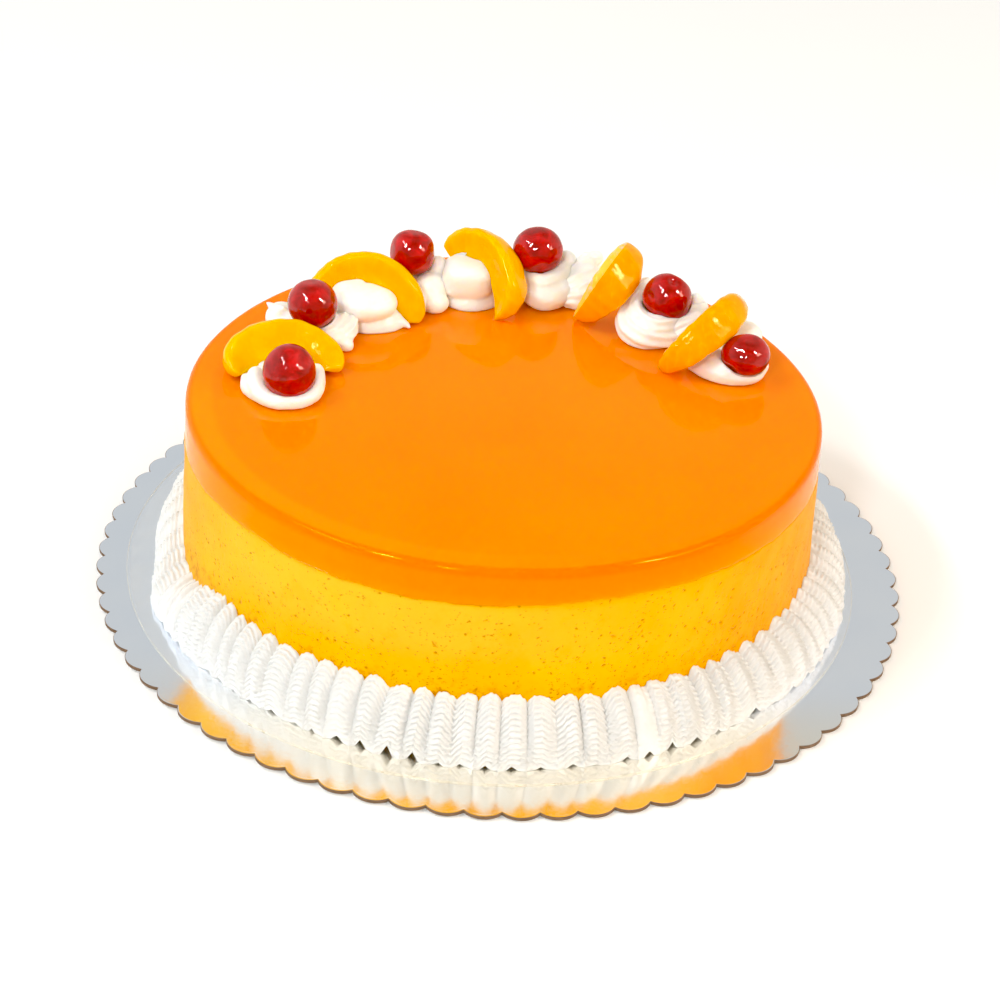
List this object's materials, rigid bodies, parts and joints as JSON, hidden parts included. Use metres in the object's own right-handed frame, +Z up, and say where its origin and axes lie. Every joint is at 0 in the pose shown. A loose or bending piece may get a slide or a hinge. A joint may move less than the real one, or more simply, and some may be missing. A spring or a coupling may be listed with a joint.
{
  "type": "ice cream cake",
  "caption": "Round layered ice cream cake with a clear orange jelly top, ruffled cream border and a fruit garland, on its scalloped foil card.",
  "frame": {"origin": "centre of the card's underside, where the cake rests", "axes": "+Z up through the layers, +Y towards the garland of fruit at the back, -Y towards the bare front of the top"},
  "size_m": [0.315, 0.3149, 0.1068],
  "materials": {
    "foil_card": "silver mirror foil on brown cardboard",
    "clear_disc": "clear thin sheet",
    "mousse": "soft yellow mousse with fine pits",
    "jelly": "clear orange jelly, wet gloss",
    "cream": "whipped cream, soft sheen",
    "cherry": "glazed red cherry, wet gloss",
    "peach": "syrupy peach, soft gloss"
  },
  "bodies": {
    "root": {"foil_card": "foil_card", "clear_disc": "clear_disc", "mousse_layer": "mousse", "jelly_layer": "jelly", "cream_border": "cream", "rosette_01": "cream", "rosette_02": "cream", "rosette_03": "cream", "rosette_04": "cream", "rosette_05": "cream", "rosette_06": "cream", "rosette_07": "cream", "rosette_08": "cream", "rosette_09": "cream", "rosette_10": "cream", "peach_slice_01": "peach", "peach_slice_02": "peach", "peach_slice_03": "peach", "peach_slice_04": "peach", "peach_slice_05": "peach", "cherry_01": "cherry", "cherry_02": "cherry", "cherry_03": "cherry", "cherry_04": "cherry", "cherry_05": "cherry", "cherry_06": "cherry"}
  },
  "joints": []
}
